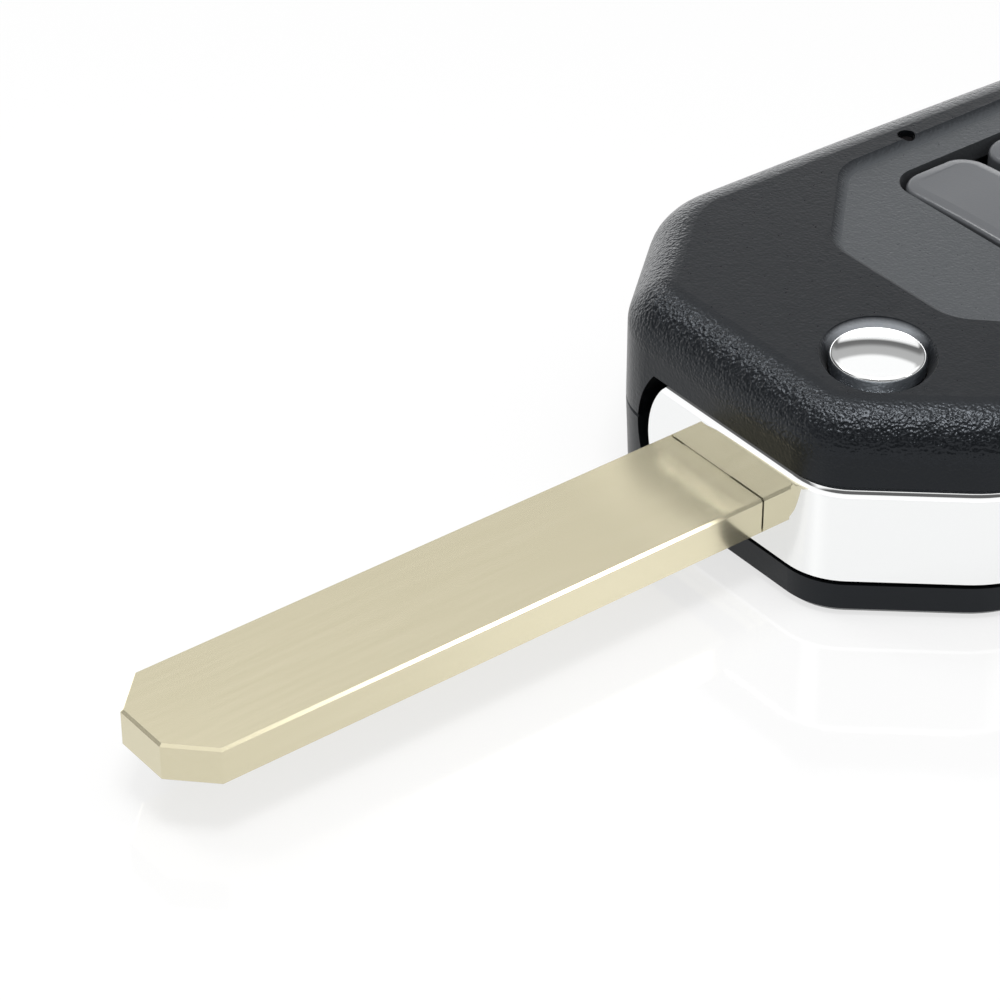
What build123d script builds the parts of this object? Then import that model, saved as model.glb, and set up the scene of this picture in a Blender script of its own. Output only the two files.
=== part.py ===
from build123d import *
from math import hypot
import os

# A flip key remote shell. +Z is up and the blade points to -X.
# The origin is on the flat underside of the case, on the axis that the blade head turns about.
# Lengths are in millimetres.

# Blade
blade_width = 9.7
blade_thickness = 2.8
blade_length = 45.4
blade_tip_chamfer = 2.7
blade_edge_bevel = 0.18
blade_seam = 0.08
tang_length = 5.9
tang_width = 4.8
tang_offset = 0.9
tang_fit = 0.05
pin_radius = 0.8
pin_bore_radius = 0.45
pin_slit = 0.3
pin_recess = 0.25
pin_fit = 0.01
pin_roof = 1.2

# Pivot of the blade head
pivot_to_nose = 8.6
pivot_to_centre = 5.9
running_gap = 0.05

# Plan of the case
tail_depth = 3.4
nose_width = 19.6
shoulder_length = 10.0
tail_narrowing = 2.0
side_bow = 0.35
tail_crown = 3.6
nose_corner_radius = 5.2
shoulder_corner_radius = 8.0
tail_corner_radius = 7.0

# Heights of the case, from the underside up
floor_thickness = 1.6
strip_height = 2.45
head_gap = 0.2
head_height = 7.48
lug_gap = 0.22
lug_height = 0.9
lug_rest_gap = 0.25
collar_height = 2.0
roof_thickness = 1.9
parting_below_blade_top = 0.2

# Walls and edges of the case
wall = 1.8
inner_wall = 1.0
rib = 1.0
top_edge_radius = 3.3
inner_edge_bevel = 0.9
bottom_edge_bevel = 0.5
lower_draft = 2.5
parting_bevel = 0.14
tongue_height = 1.2
tongue_thickness = 0.7
tongue_gap = 0.1

# Blade head
head_inset = 0.12
head_reach = 12.9
arm_proud = 0.4
head_sweep = 12.6
arm_length = 5.8
head_end_radius = 6.0
head_end_centre_height = 3.2
head_edge_radius = 0.9
head_lower_edge_bevel = 0.15
blade_lift = 1.05
swing_gap = 0.3
head_end_gap = 1.05
fold_gap = 0.35

# Journals, bore and lock lugs
upper_journal_radius = 4.3
upper_journal_height = 2.87
lower_journal_radius = 4.5
lower_journal_height = 0.85
journal_floor_gap = 0.1
bore_wall = 0.7
collar_outer_radius = 6.4
lug_width = 2.6
lug_overhang = 0.85
lug_angle = 45.0
lug_side_gap = 0.1
lug_end_gap = 0.3
release_travel = 2.2
travel_reserve = 0.15
housing_rib_count = 8
washer_width = 1.2
washer_thickness = 0.35

# Release button
sleeve_wall = 0.7
sleeve_length = 7.6
sleeve_roof = 1.2
sleeve_top_gap = 0.9
spigot_radius = 1.4
spigot_height = 1.2
spigot_end_gap = 0.1
button_radius = 3.2
button_gap = 0.12
button_edge_bevel = 0.15
button_dome_height = 0.45
button_rim_below_roof = 0.55
scoop_length = 9.2
scoop_width = 7.8
scoop_shift = 0.55
scoop_depth = 1.35
scoop_angle = 229.0

# Flip spring and its seat
spring_wire = 0.7
spring_wire_sides = 6
spring_radius = 2.25
spring_turns = 4.5
spring_end_gap = 0.05
spring_leg = 0.6
spring_leg_angle = 4.0
leg_hole_gap = 0.1
seat_post_radius = 2.3
seat_post_height = 1.6
seat_radius = 2.75
seat_thickness = 0.8
seat_hub_radius = 1.75
seat_hub_height = 1.4
seat_tongue_width = 1.0
seat_tongue_depth = 0.8
seat_fit = 0.05
seat_screw_radius = 0.8
seat_screw_head_radius = 1.5
seat_screw_head_height = 0.9
seat_screw_head_bevel = 0.3
seat_screw_floor = 0.8

# Keypad
key_count = 3
key_length = 7.1
key_width = 20.2
key_spacing = 0.8
key_corner_radius = 1.9
key_edge_bevel = 0.4
key_stand = 0.4
key_crown = 0.35
key_wall = 1.0
key_ear = 0.9
key_ear_height = 0.75
key_ear_gap = 0.1
key_stem_radius = 1.6
key_travel = 0.4
key_stop_gap = 0.1
key_side_gap = 0.35
keypad_setback = 2.0
recess_depth = 0.45
recess_front = 15.6
recess_front_width = 11.2
recess_margin = 4.8
recess_diagonal = 7.1
recess_behind_keys = 6.2
recess_corner_radius = 3.0
recess_ramp_angle = 60.0
indicator_radius = 0.65
indicator_from_key = 3.6
indicator_past_key = 4.5
indicator_gap = 0.02
guide_flange = 0.45
guide_flange_height = 0.5
guide_top_gap = 0.5
guide_length = 1.6

# Membrane and board tray
membrane_thickness = 0.6
membrane_dome_radius = 2.6
membrane_dome_slope = 0.7
membrane_seat_gap = 0.05
frame_margin = 0.25
tray_height = 2.55
tray_floor = 1.0
tray_wall = 1.0
tray_post_margin = 0.5
tray_post_radius = 1.2
cell_radius = 8.2
cell_ring_wall = 0.9
cell_ring_height = 3.0

# Blade pocket
pocket_gap = 0.3
pocket_roof = 1.2
pocket_rib_count = 7

# Case screws
screw_radius = 0.9
screw_fit = 0.02
screw_head_radius = 1.9
screw_head_height = 1.2
screw_head_sink = 0.5
screw_shank_gap = 0.2
screw_head_gap = 0.15
screw_reach = 4.4
screw_end_gap = 0.4
screw_recess_length = 2.0
screw_recess_width = 0.5
screw_recess_depth = 0.6
boss_radius = 2.4
post_radius = 2.9
front_screw_back = 6.0
front_screw_from_wall = 5.6
rear_screw_from_tail = 11.0
rear_screw_from_wall = 3.6

# Key ring bar
ring_notch_width = 9.0
ring_notch_length = 9.6
ring_notch_radius = 1.5
ring_bar_radius = 1.25
ring_bar_from_tail = 2.7
ring_bar_hold = 1.5
ring_bar_fit = 0.02
ring_bar_bevel = 0.25

# Heights that follow from the stack
head_underside = strip_height + head_gap
head_top = head_underside + head_height
deck_height = head_top + head_gap
lug_underside = head_top + lug_gap
lug_top = lug_underside + lug_height
collar_underside = lug_top + lug_rest_gap
roof_underside = collar_underside + collar_height
case_height = roof_underside + roof_thickness
blade_underside = head_underside + blade_lift
blade_top = blade_underside + blade_thickness
parting_height = blade_top - parting_below_blade_top
recess_floor = case_height - recess_depth
seat_height = floor_thickness + seat_post_height
hub_top = seat_height + seat_thickness + seat_hub_height
sleeve_top = roof_underside - sleeve_top_gap
bearing_floor = head_underside - lower_journal_height - journal_floor_gap

# Where the spring's legs stand, just inside the ends of the coil
lower_leg_place = Rot(0, 0, spring_leg_angle)
upper_leg_place = Rot(0, 0, 360 * spring_turns - spring_leg_angle)

# Plan sizes that follow from the folded head, whose arm stands just proud of the near side
case_width = 2 * (pivot_to_centre + head_reach - arm_proud)
case_length = 2 * pivot_to_nose + blade_length + tail_depth
nose_x = -pivot_to_nose
tail_x = nose_x + case_length
near_y = pivot_to_centre - case_width / 2
far_y = pivot_to_centre + case_width / 2
blade_tip_x = nose_x - blade_length

# Head bore, swing of the head and the housing wall round it
bore_radius = upper_journal_radius - bore_wall
sleeve_radius = bore_radius - running_gap
lug_reach = upper_journal_radius + lug_overhang
cavity_radius = head_sweep + swing_gap
housing_radius = cavity_radius + inner_wall

# Folded blade pocket
pocket_front = pivot_to_nose + fold_gap
tip_sweep = hypot(blade_tip_x, pivot_to_centre + blade_width / 2 - blade_tip_chamfer)
pocket_end = tip_sweep + swing_gap
pocket_inner_y = -pivot_to_centre + blade_width / 2 + fold_gap
pocket_floor = blade_underside - pocket_gap
pocket_ceiling = blade_top + pocket_gap

# Keypad places
key_pitch = key_length + key_spacing
keypad_start = housing_radius + keypad_setback
keypad_end = keypad_start + key_count * key_pitch - key_spacing
indicator_place = Pos(keypad_start + indicator_past_key, pivot_to_centre + key_width / 2 + indicator_from_key)
opening_front = keypad_start - key_side_gap
opening_rear = keypad_end + key_side_gap
opening_half = key_width / 2 + key_side_gap
ear_half = key_width / 2 + key_ear
key_underside = roof_underside - key_ear_gap - key_ear_height
dome_top = key_underside - key_travel - key_stop_gap
frame_inner_half = ear_half + frame_margin
frame_front = opening_front - rib
frame_rear = opening_rear + rib
frame_half = frame_inner_half + rib
membrane_top = dome_top - key_travel - key_stop_gap
membrane_underside = membrane_top - membrane_thickness
frame_underside = membrane_top + membrane_seat_gap
tray_top = membrane_underside - membrane_seat_gap
tray_underside = tray_top - tray_height

# Screw places
screw_places = [
    (front_screw_back, far_y - front_screw_from_wall),
    (tail_x - rear_screw_from_tail, far_y - tail_narrowing - rear_screw_from_wall),
]
screw_head_top = screw_head_sink + screw_head_height
screw_tip = parting_height + screw_reach

# Key ring notch and coin cell
notch_front = tail_x - ring_notch_length
notch_wall_half = ring_notch_width / 2 + ring_bar_hold + inner_wall
bar_x = tail_x - ring_bar_from_tail
cell_x = (keypad_start + keypad_end) / 2
cell_y = pocket_inner_y + inner_wall + cell_radius


def block(x0, x1, y0, y1, z0, z1):
    """A straight block between two corners."""
    middle = Pos((x0 + x1) / 2, (y0 + y1) / 2, (z0 + z1) / 2)
    return middle * Box(x1 - x0, y1 - y0, z1 - z0)


def drum(radius, z0, z1, x=0.0, y=0.0):
    """An upright cylinder between two heights."""
    return Pos(x, y, (z0 + z1) / 2) * Cylinder(radius, z1 - z0)


def tube(outer, inner, z0, z1, x=0.0, y=0.0):
    """An upright tube between two heights."""
    return drum(outer, z0, z1, x, y) - drum(inner, z0, z1, x, y)


def prism(plan, z0, z1):
    """A plan sketch raised between two heights."""
    return extrude(Pos(0, 0, z0) * plan, amount=z1 - z0)


def lug_bar(gap, z0, z1):
    """A bar across the axis, as wide and as long as the two lock lugs with a gap round them."""
    half = lug_width / 2 + gap
    bar = block(-half, half, -lug_reach - gap, lug_reach + gap, z0, z1)
    return Rot(0, 0, lug_angle) * bar & drum(lug_reach + gap, z0, z1)


def case_plan(inset=0.0):
    """Plan of the case: a flat nose, two diagonals, bowed sides and a crowned tail."""
    half = case_width / 2
    nose = nose_width / 2
    tail = half - tail_narrowing
    side_end = case_length - tail_crown
    middle = (shoulder_length + side_end) / 2
    bow = (half + tail) / 2 + side_bow
    plan = make_face(Curve() + [
        Line((0, -nose), (0, nose)),
        Line((0, nose), (shoulder_length, half)),
        ThreePointArc((shoulder_length, half), (middle, bow), (side_end, tail)),
        ThreePointArc((side_end, tail), (case_length, 0), (side_end, -tail)),
        ThreePointArc((side_end, -tail), (middle, -bow), (shoulder_length, -half)),
        Line((shoulder_length, -half), (0, -nose)),
    ])
    if inset:
        plan = offset(plan, amount=-inset, kind=Kind.INTERSECTION)
    plan = fillet(plan.vertices().group_by(Axis.X)[-1], tail_corner_radius - inset)
    plan = fillet([v for v in plan.vertices() if v.X < shoulder_length / 2], nose_corner_radius - inset)
    shoulders = [v for v in plan.vertices() if abs(v.X - shoulder_length) < inset + 1]
    plan = fillet(shoulders, shoulder_corner_radius - inset)
    return Pos(nose_x, pivot_to_centre) * plan


def recess_plan():
    """Plan of the shallow keypad recess: it echoes the nose and follows the sides."""
    front = nose_x + recess_front
    rear = keypad_end + recess_behind_keys
    half = case_width / 2 - tail_narrowing / 2 - recess_margin
    nose = recess_front_width / 2
    shoulder = front + recess_diagonal
    tail = half - recess_diagonal / 2
    points = [(front, nose), (shoulder, half), (rear - recess_diagonal / 2, half), (rear, tail)]
    mirrored = [(x, -y) for x, y in reversed(points)]
    plan = make_face(Polyline(points + mirrored, close=True))
    plan = fillet(plan.vertices(), recess_corner_radius)
    return Pos(0, pivot_to_centre) * plan


def thumb_scoop():
    """Oval scoop round the release button, longer towards the near diagonal, where the thumb comes from."""
    ring = Pos(0, 0, case_height - scoop_depth) * Circle(button_radius + button_gap)
    mouth = Pos(scoop_shift, 0, case_height) * Ellipse(scoop_length / 2, scoop_width / 2)
    return Rot(0, 0, scoop_angle) * loft([ring, mouth])


def head_front_view(end_gap=0.0, height_gap=0.0):
    """Front view of the head band, with its rounded far end, as a face in the YZ plane."""
    centre = (head_reach - head_end_radius, head_underside + head_end_centre_height)
    round_end = Pos(*centre) * Circle(head_end_radius + end_gap)
    length = centre[0] + case_width
    straight = Pos(centre[0] - length / 2, centre[1]) * Rectangle(length, 4 * head_height)
    band = Pos(0, (head_underside + head_top) / 2) * Rectangle(4 * case_width, head_height + 2 * height_gap)
    return Plane.YZ * ((straight + round_end) & band)


def head_space():
    """Everything the head needs to swing half a turn between the two shells."""
    low = strip_height
    space = drum(cavity_radius, low, deck_height)
    band = head_front_view(head_end_gap, head_gap)
    arm = extrude(Pos(nose_x - 1, 0, 0) * band, amount=arm_length + 1 + swing_gap)
    space += arm & block(nose_x - 2, 0, 0, far_y, 0, case_height)
    space += block(
        pivot_to_nose - arm_length - swing_gap, pocket_front, near_y - 3, 0, low, deck_height
    )
    corner = block(nose_x - 1, 0, near_y - 1, 0, low, deck_height)
    return space + corner


def blade_pocket():
    """The slot that the folded blade lies in."""
    return block(0, pocket_end, near_y - 3, pocket_inner_y, pocket_floor, pocket_ceiling)


def ring_notch():
    """The notch in the tail that the key ring passes through."""
    long = ring_notch_length + 4
    plan = Pos(notch_front + long / 2, pivot_to_centre) * RectangleRounded(
        long, ring_notch_width, ring_notch_radius
    )
    return prism(plan, -1, case_height + 1)


def ring_bar():
    """Steel bar across the tail notch, caught between the shells."""
    length = ring_notch_width + 2 * ring_bar_hold
    bar = Cylinder(ring_bar_radius, length, rotation=(90, 0, 0))
    bar = chamfer(bar.edges().filter_by(GeomType.CIRCLE), ring_bar_bevel)
    return Pos(bar_x, pivot_to_centre, parting_height) * bar


def ring_bar_seat():
    length = ring_notch_width + 2 * ring_bar_hold + 2 * ring_bar_fit
    seat = Cylinder(ring_bar_radius + ring_bar_fit, length, rotation=(90, 0, 0))
    return Pos(bar_x, pivot_to_centre, parting_height) * seat


def arm_walls(z0, z1):
    """Solid round the two places of the head's arm, which the head's space is cut from."""
    behind = arm_length + swing_gap + inner_wall
    walls = block(nose_x, nose_x + behind, near_y, head_reach + head_end_gap + inner_wall, z0, z1)
    return walls + block(0, pocket_front + inner_wall, near_y, 0, z0, z1)


def notch_walls(z0, z1):
    """Walls round the tail notch, which close the case off behind it."""
    return block(notch_front - inner_wall, tail_x,
                 pivot_to_centre - notch_wall_half, pivot_to_centre + notch_wall_half, z0, z1)


def tongue_ring(gap, end_gap):
    """Ring that the upper shell reaches down with, inside the lower shell's wall."""
    plan = case_plan(wall - tongue_thickness - gap) - case_plan(wall)
    ring = prism(plan, parting_height - tongue_height - gap, parting_height)
    mouth_end = head_reach + head_end_gap + inner_wall + end_gap
    ring -= block(nose_x - 1, 0, near_y - 1, mouth_end, 0, case_height)
    ring -= block(0, pocket_end + inner_wall + end_gap, near_y - 1, pocket_inner_y + inner_wall + end_gap,
                  0, case_height)
    half = notch_wall_half + end_gap
    return ring - block(notch_front - inner_wall - end_gap, tail_x + 1,
                        pivot_to_centre - half, pivot_to_centre + half, 0, case_height)


def upper_shell():
    """Moulded upper half: grained roof, key opening, button bore and the collar for the head."""
    plan = case_plan()
    body = prism(plan, parting_height, case_height)
    body = fillet(body.faces().sort_by(Axis.Z)[-1].edges(), top_edge_radius)
    body = chamfer(body.faces().sort_by(Axis.Z)[0].edges(), parting_bevel)
    hollow = prism(case_plan(wall), parting_height, roof_underside)
    hollow = chamfer(hollow.faces().sort_by(Axis.Z)[-1].edges(), inner_edge_bevel)
    shell = body - hollow

    inside = tube(housing_radius, cavity_radius, parting_height, roof_underside)
    inside += tube(collar_outer_radius, upper_journal_radius + running_gap, collar_underside, roof_underside)
    for turn in range(housing_rib_count):
        spoke = block(collar_outer_radius - rib / 2, housing_radius, -rib / 2, rib / 2, deck_height, roof_underside)
        inside += Rot(0, 0, turn * 360 / housing_rib_count) * spoke
    inside += block(0, pocket_end + inner_wall, near_y, pocket_inner_y + inner_wall,
                    parting_height, pocket_ceiling + pocket_roof)
    inside += notch_walls(parting_height, roof_underside)
    frame_plan = Pos((frame_front + frame_rear) / 2, pivot_to_centre) * (
        RectangleRounded(frame_rear - frame_front, 2 * frame_half, rib)
        - Rectangle(frame_rear - frame_front - 2 * rib, 2 * frame_inner_half)
    )
    inside += prism(frame_plan, frame_underside, roof_underside)
    for x, y in screw_places:
        inside += drum(boss_radius, parting_height, roof_underside, x, y)
    inside += arm_walls(parting_height, deck_height + rib)
    shell += inside & hollow

    shell -= head_space() + blade_pocket() + ring_notch() + ring_bar_seat()
    shell -= lug_bar(lug_side_gap, collar_underside, collar_underside + lug_height + 2 * lug_side_gap)
    shell -= drum(lug_reach + lug_end_gap, deck_height, collar_underside)
    shell -= drum(upper_journal_radius + running_gap, collar_underside, roof_underside)
    shell -= drum(button_radius + button_gap, roof_underside - 1, case_height + 1)
    shell -= thumb_scoop()
    shell -= extrude(Pos(0, 0, recess_floor) * recess_plan(), amount=2 * recess_depth, taper=-recess_ramp_angle)
    opening = Pos((opening_front + opening_rear) / 2, pivot_to_centre) * RectangleRounded(
        opening_rear - opening_front, 2 * opening_half, key_corner_radius + key_side_gap
    )
    shell -= prism(opening, roof_underside - 1, case_height + 1)
    shell -= indicator_place * drum(indicator_radius, roof_underside - 1, case_height + 1)
    flange = indicator_radius + guide_flange + running_gap
    shell -= indicator_place * drum(flange, roof_underside - guide_flange_height, roof_underside)
    for x, y in screw_places:
        shell -= drum(screw_radius + screw_fit, parting_height - 1, screw_tip + screw_end_gap, x, y)

    return shell + tongue_ring(0, tongue_gap)


def lower_shell():
    """Moulded lower half: floor, bearing recess, spring post, screw posts and the cell ring."""
    plan = case_plan()
    body = extrude(Pos(0, 0, parting_height) * plan, amount=-parting_height, taper=lower_draft)
    body = chamfer(body.faces().sort_by(Axis.Z)[0].edges(), bottom_edge_bevel)
    body = chamfer(body.faces().sort_by(Axis.Z)[-1].edges(), parting_bevel)
    hollow = prism(case_plan(wall), floor_thickness, parting_height)
    shell = body - hollow

    inside = drum(housing_radius, floor_thickness, parting_height)
    inside += arm_walls(floor_thickness, parting_height)
    inside += block(pocket_front, pocket_end + inner_wall, pocket_inner_y, pocket_inner_y + inner_wall,
                    floor_thickness, parting_height)
    inside += block(pocket_end, pocket_end + inner_wall, near_y, pocket_inner_y + inner_wall,
                    floor_thickness, parting_height)
    rib_pitch = (pocket_end - pocket_front) / pocket_rib_count
    for place in range(1, pocket_rib_count):
        x = pocket_front + place * rib_pitch
        inside += block(x - rib / 2, x + rib / 2, near_y, pocket_inner_y, floor_thickness, pocket_floor)
    inside += notch_walls(floor_thickness, parting_height)
    inside += tube(cell_radius + cell_ring_wall, cell_radius, floor_thickness,
                   floor_thickness + cell_ring_height, cell_x, cell_y)
    for x, y in screw_places:
        inside += drum(post_radius, floor_thickness, parting_height, x, y)
    shell += inside & hollow

    space = head_space()
    shell -= space + blade_pocket() + ring_notch() + ring_bar_seat()
    washer_outer = lower_journal_radius + washer_width
    shell -= drum(washer_outer + running_gap, head_underside - running_gap - washer_thickness, strip_height + 1)
    shell -= drum(lower_journal_radius + running_gap, bearing_floor, strip_height + 1)
    groove = tube(cavity_radius - inner_wall, washer_outer + inner_wall, floor_thickness, strip_height + 1)
    shell -= groove & prism(case_plan(wall + inner_wall), 0, case_height)

    post = drum(seat_post_radius, seat_screw_floor, seat_height)
    half_tongue = seat_tongue_width / 2 + seat_fit
    post -= block(-seat_radius, seat_radius, -half_tongue, half_tongue,
                  seat_height - seat_tongue_depth - seat_fit, seat_height + 1)
    shell += post
    shell -= drum(seat_screw_radius + screw_fit, seat_screw_floor, seat_height + 1)
    for x, y in screw_places:
        shell -= drum(screw_radius + screw_shank_gap, 0, parting_height + 1, x, y)
        shell -= drum(screw_head_radius + screw_head_gap, -1, screw_head_top, x, y)
    shell -= tongue_ring(tongue_gap, 0)

    post_inset = tray_post_radius + tray_post_margin
    for x in (frame_front + post_inset, frame_rear - post_inset):
        shell += drum(tray_post_radius, seat_screw_floor, tray_underside - membrane_seat_gap,
                      x, pivot_to_centre + frame_half - post_inset)
    return shell


def head_plan():
    """Plan of the head: it fills the nose of the case, open or folded, and has an arm to its far side."""
    flush = case_plan(head_inset)
    core = flush & (Rot(0, 0, 180) * flush) & Circle(head_sweep)
    x0 = nose_x + head_inset
    arm = Pos(x0 + arm_length / 2, head_reach / 2) * Rectangle(arm_length, head_reach)
    return core + arm


def flip_head():
    """Die-cast head that carries the blade and turns in the case."""
    head = prism(head_plan(), head_underside, head_top)
    head = fillet(head.faces().sort_by(Axis.Z)[-1].edges(), head_edge_radius)
    head = chamfer(head.faces().sort_by(Axis.Z)[0].edges(), head_lower_edge_bevel)
    head &= extrude(Pos(nose_x - 1, 0, 0) * head_front_view(), amount=3 * pivot_to_nose)
    head += drum(upper_journal_radius, head_top - 0.5, head_top + upper_journal_height)
    head += drum(lower_journal_radius, head_underside - lower_journal_height, head_underside + 0.5)
    head -= drum(bore_radius, 0, case_height)
    slot_floor = lug_underside - release_travel - travel_reserve
    head -= lug_bar(lug_side_gap, slot_floor, case_height)
    tang_y = pivot_to_centre + tang_offset
    half = tang_width / 2 + tang_fit
    head -= block(nose_x - 1, nose_x + head_inset + tang_length + tang_fit, tang_y - half, tang_y + half,
                  blade_underside - tang_fit, blade_top + tang_fit)
    head -= drum(pin_radius + pin_fit, 0, head_top - pin_roof, nose_x + tang_length / 2, tang_y)
    return head


def blade():
    """Uncut nickel silver blank with a bevelled tip and a pinned tang."""
    half = blade_width / 2
    tip = blade_tip_chamfer
    root = nose_x + head_inset - blade_seam
    points = [
        (root, half), (blade_tip_x + tip, half), (blade_tip_x, half - tip),
        (blade_tip_x, tip - half), (blade_tip_x + tip, -half), (root, -half),
    ]
    plan = Pos(0, pivot_to_centre) * make_face(Polyline(points, close=True))
    blank = prism(plan, blade_underside, blade_top)
    rims = [e for e in blank.edges().filter_by(Plane.XY) if e.center().X < root - 0.01]
    blank = chamfer(rims, blade_edge_bevel)
    tang_y = pivot_to_centre + tang_offset
    blank += block(root - 1, nose_x + head_inset + tang_length, tang_y - tang_width / 2, tang_y + tang_width / 2,
                   blade_underside, blade_top)
    return blank - drum(pin_radius + pin_fit, 0, case_height, nose_x + tang_length / 2, tang_y)


def blade_pin():
    """Slotted spring pin that holds the tang in the head."""
    tang_y = pivot_to_centre + tang_offset
    low = head_underside + pin_recess
    high = head_top - pin_roof - pin_recess
    x = nose_x + tang_length / 2
    pin = tube(pin_radius, pin_bore_radius, low, high, x, tang_y)
    return pin - block(x, x + 2 * pin_radius, tang_y - pin_slit / 2, tang_y + pin_slit / 2, low, high)


def head_washer():
    """Thin washer that the head turns on."""
    high = head_underside - running_gap
    return tube(lower_journal_radius + washer_width, lower_journal_radius + 2 * running_gap,
                high - washer_thickness, high)


def lock_sleeve():
    """Sliding sleeve with two lock lugs, which the release button pushes down."""
    low = sleeve_top - sleeve_length
    sleeve = drum(sleeve_radius, low, sleeve_top)
    sleeve += drum(spigot_radius, sleeve_top, sleeve_top + spigot_height)
    sleeve += lug_bar(0, lug_underside, lug_top)
    sleeve_ceiling = sleeve_top - sleeve_roof
    sleeve -= drum(sleeve_radius - sleeve_wall, low, sleeve_ceiling)
    leg_hole = drum(spring_wire / 2 + leg_hole_gap, low, sleeve_ceiling + spring_leg + leg_hole_gap,
                    spring_radius, 0)
    return sleeve - upper_leg_place * leg_hole


def release_button():
    """Chromed domed button on the sleeve's spigot."""
    rim = case_height - button_rim_below_roof
    button = drum(button_radius, sleeve_top, rim)
    button = chamfer(button.faces().sort_by(Axis.Z)[-1].edges(), button_edge_bevel)
    dome_radius = button_radius - button_edge_bevel
    bulge = (dome_radius ** 2 + button_dome_height ** 2) / (2 * button_dome_height)
    dome = Pos(0, 0, rim + button_dome_height - bulge) * Sphere(bulge)
    button += dome & drum(dome_radius, rim, case_height)
    return button - drum(spigot_radius + pin_fit, sleeve_top, sleeve_top + spigot_height + spigot_end_gap)


def spring_seat():
    """Keyed seat that holds the spring's lower leg still in the case."""
    top = seat_height + seat_thickness
    seat = drum(seat_radius, seat_height, top)
    seat += drum(seat_hub_radius, top, hub_top)
    seat += block(-seat_post_radius, seat_post_radius, -seat_tongue_width / 2, seat_tongue_width / 2,
                  seat_height - seat_tongue_depth, seat_height)
    seat -= drum(seat_screw_radius + screw_shank_gap / 2, 0, case_height)
    leg_hole = drum(spring_wire / 2 + leg_hole_gap, top - spring_leg - leg_hole_gap, top + 1, spring_radius, 0)
    return seat - lower_leg_place * leg_hole


def seat_screw():
    """Small pan head screw that holds the spring seat on its post."""
    screw = drum(seat_screw_radius, seat_screw_floor + 0.1, hub_top)
    head = drum(seat_screw_head_radius, hub_top, hub_top + seat_screw_head_height)
    head = chamfer(head.faces().sort_by(Axis.Z)[-1].edges(), seat_screw_head_bevel)
    return screw + head - cross_recess(hub_top + seat_screw_head_height)


def cross_recess(z):
    """Cross recess of a screw head whose face is at the height z."""
    bar = Box(screw_recess_length, screw_recess_width, 2 * screw_recess_depth)
    return Pos(0, 0, z) * (bar + Rot(0, 0, 90) * bar)


def flip_spring():
    """Torsion and push spring: it drives the head round and lifts the button."""
    low = seat_height + seat_thickness + spring_end_gap + spring_wire / 2
    high = sleeve_top - sleeve_roof - spring_end_gap - spring_wire / 2
    height = high - low
    path = Helix(pitch=height / spring_turns, height=height, radius=spring_radius)
    section = Plane(origin=path @ 0, z_dir=path % 0) * RegularPolygon(spring_wire / 2, spring_wire_sides)
    coil = Pos(0, 0, low) * sweep(section, path=path)
    leg = spring_wire / 2 + spring_leg
    foot = drum(spring_wire / 2, low - leg, low + spring_wire / 2, spring_radius, 0)
    top = drum(spring_wire / 2, high - spring_wire / 2, high + leg, spring_radius, 0)
    return coil + lower_leg_place * foot + upper_leg_place * top


def key(index):
    """Hollow moulded key with a soft crown, two ears under the roof and a stem."""
    x = keypad_start + key_length / 2 + index * key_pitch
    edge = recess_floor + key_stand - key_crown
    plan = RectangleRounded(key_length, key_width, key_corner_radius)
    cap = extrude(Pos(0, 0, key_underside) * plan, amount=edge + key_crown - key_underside)
    bulge = ((key_width / 2) ** 2 + key_crown ** 2) / (2 * key_crown)
    crown = Pos(0, 0, edge + key_crown - bulge) * Cylinder(bulge, 2 * key_length, rotation=(0, 90, 0))
    cap &= crown
    cap = chamfer(cap.faces().sort_by(Axis.Z)[-1].edges(), key_edge_bevel)
    inner = RectangleRounded(key_length - 2 * key_wall, key_width - 2 * key_wall, key_corner_radius / 2)
    cap -= extrude(Pos(0, 0, key_underside) * inner, amount=edge - key_wall - key_underside)
    cap += drum(key_stem_radius, key_underside, edge)
    for side in (1, -1):
        ear = Box(key_length - 2 * key_corner_radius, key_ear + key_wall, key_ear_height)
        y = side * (key_width / 2 + (key_ear - key_wall) / 2)
        cap += Pos(0, y, key_underside + key_ear_height / 2) * ear
    return Pos(x, pivot_to_centre, 0) * cap


def keypad_membrane():
    """Silicone sheet with one dome under each key."""
    plan = Pos((frame_front + frame_rear) / 2, pivot_to_centre) * RectangleRounded(
        frame_rear - frame_front, 2 * frame_half, rib
    )
    sheet = prism(plan, membrane_underside, membrane_top)
    for index in range(key_count):
        x = keypad_start + key_length / 2 + index * key_pitch
        height = dome_top - membrane_top
        cone = Cone(membrane_dome_radius, membrane_dome_radius - membrane_dome_slope, height)
        sheet += Pos(x, pivot_to_centre, membrane_top + height / 2) * cone
    return sheet


def board_tray():
    """Tray that backs the membrane, with an empty bay for a board and a hole for a coin cell."""
    x0 = frame_front
    x1 = frame_rear
    middle = Pos((x0 + x1) / 2, pivot_to_centre)
    outer = RectangleRounded(x1 - x0, 2 * frame_half, rib)
    inner = RectangleRounded(x1 - x0 - 2 * tray_wall, 2 * frame_half - 2 * tray_wall, rib / 2)
    tray = prism(middle * outer, tray_underside, tray_top)
    tray -= prism(middle * inner, tray_underside + tray_floor, tray_top + 1)
    return tray - drum(cell_radius, 0, case_height, cell_x, cell_y)


def case_screw(x, y):
    """One of the two sunk pan head screws that close the case from below."""
    screw = drum(screw_radius, screw_head_top, screw_tip)
    screw += drum(screw_head_radius, screw_head_sink, screw_head_top)
    return Pos(x, y, 0) * (screw - cross_recess(screw_head_sink))


def indicator_guide():
    """Clear light guide for an indicator, pushed into the slot in the roof from below."""
    guide = drum(indicator_radius + guide_flange, roof_underside - guide_flange_height, roof_underside)
    guide += drum(indicator_radius - indicator_gap, roof_underside - guide_length, case_height - guide_top_gap)
    return indicator_place * guide


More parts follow.
